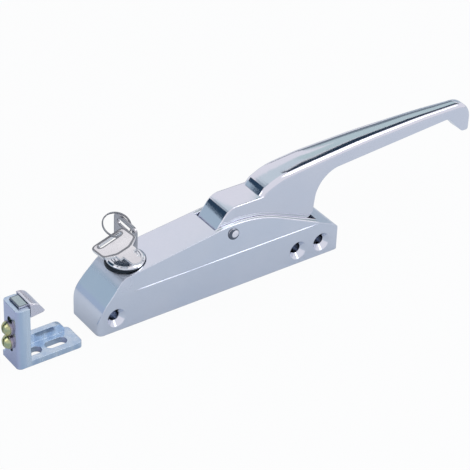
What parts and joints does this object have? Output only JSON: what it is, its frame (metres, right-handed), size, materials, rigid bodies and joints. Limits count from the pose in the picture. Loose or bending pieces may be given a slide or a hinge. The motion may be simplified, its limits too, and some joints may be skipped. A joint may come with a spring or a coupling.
{
  "type": "cold room door handle",
  "caption": "Edge-mounted lever latch with a key lock in its sloping nose, a sprung bolt inside, two keys on a ring, and a separate height-adjustable hooked strike.",
  "frame": {"origin": "on the base plane, at mid-width of the housing, straight below the lever's pivot pin", "axes": "+X along the latch from the strike towards the lever's free end, +Z out of the door from the base, +Y to the flat side that the screws pull against"},
  "size_m": [0.3461, 0.0568, 0.0691],
  "materials": {
    "chrome_shell": "bright chrome plate on a die casting",
    "chrome_lever": "bright chrome plate on a die casting",
    "chrome_lock": "bright chrome plate",
    "lock_plug_metal": "satin chrome plate",
    "key_nickel": "satin nickel plate",
    "ring_steel": "bright spring steel wire",
    "strike_zinc": "bluish zinc plate on folded steel",
    "hook_satin": "satin zinc plate",
    "yellow_zinc": "yellow zinc plate",
    "washer_steel": "plain zinc plate",
    "zinc_plate": "zinc plated sheet steel",
    "bolt_zinc": "die-cast zinc, tumbled",
    "pin_steel": "ground steel",
    "steel_fixings": "zinc plated screws",
    "bush_brass": "turned brass",
    "spring_steel": "spring wire"
  },
  "bodies": {
    "housing": {"housing": "chrome_shell", "bottom_plate": "zinc_plate", "bottom_plate_screws": "steel_fixings", "pivot_pin": "pin_steel", "spring_rod": "pin_steel", "bolt_spring": "spring_steel", "lock_barrel": "chrome_lock", "lock_nut": "bush_brass", "strike_bracket": "strike_zinc"},
    "lever": {"lever": "chrome_lever", "lever_bushes": "bush_brass", "drive_pin": "pin_steel"},
    "latch_bolt": {"latch_bolt": "bolt_zinc"},
    "lock_plug": {"lock_plug": "lock_plug_metal", "lock_cam": "zinc_plate", "cam_screw": "steel_fixings", "key": "key_nickel"},
    "key_ring": {"key_ring": "ring_steel"},
    "spare_key": {"spare_key": "key_nickel"},
    "strike_hook": {"strike_hook": "hook_satin", "strike_screws": "yellow_zinc", "strike_washers": "washer_steel"}
  },
  "joints": [
    {"name": "lever_pivot", "type": "hinge", "parent": "housing", "child": "lever", "pos_m": [0, 0, 0.0385], "axis": [0, -1, 0], "range_deg": [0, 25]},
    {"name": "bolt_slide", "type": "slide", "parent": "housing", "child": "latch_bolt", "axis": [1, 0, 0], "range_m": [0, 0.0104], "stiffness_N_per_m": 300, "springref_m": -0.02, "deforming": ["bolt_spring"]},
    {"name": "lock_turn", "type": "hinge", "parent": "housing", "child": "lock_plug", "pos_m": [-0.0675, 0, 0.03], "axis": [0, 0, 1], "range_deg": [0, 90]},
    {"name": "ring_swing", "type": "hinge", "parent": "lock_plug", "child": "key_ring", "pos_m": [-0.0675, 0, 0.0632], "axis": [0, 1, 0], "range_deg": [0, 8]},
    {"name": "spare_key_swing", "type": "hinge", "parent": "key_ring", "child": "spare_key", "pos_m": [-0.07785, -0.00605, 0.0601], "axis": [-0.9507, 0, -0.3102], "range_deg": [0, 12]},
    {"name": "hook_height", "type": "slide", "parent": "housing", "child": "strike_hook", "axis": [0, 0, 1], "range_m": [-0.0045, 0.005]}
  ],
  "couplings": [
    {"joint": "bolt_slide", "follows": "lever_pivot", "m_per_rad": 0.0237}
  ]
}
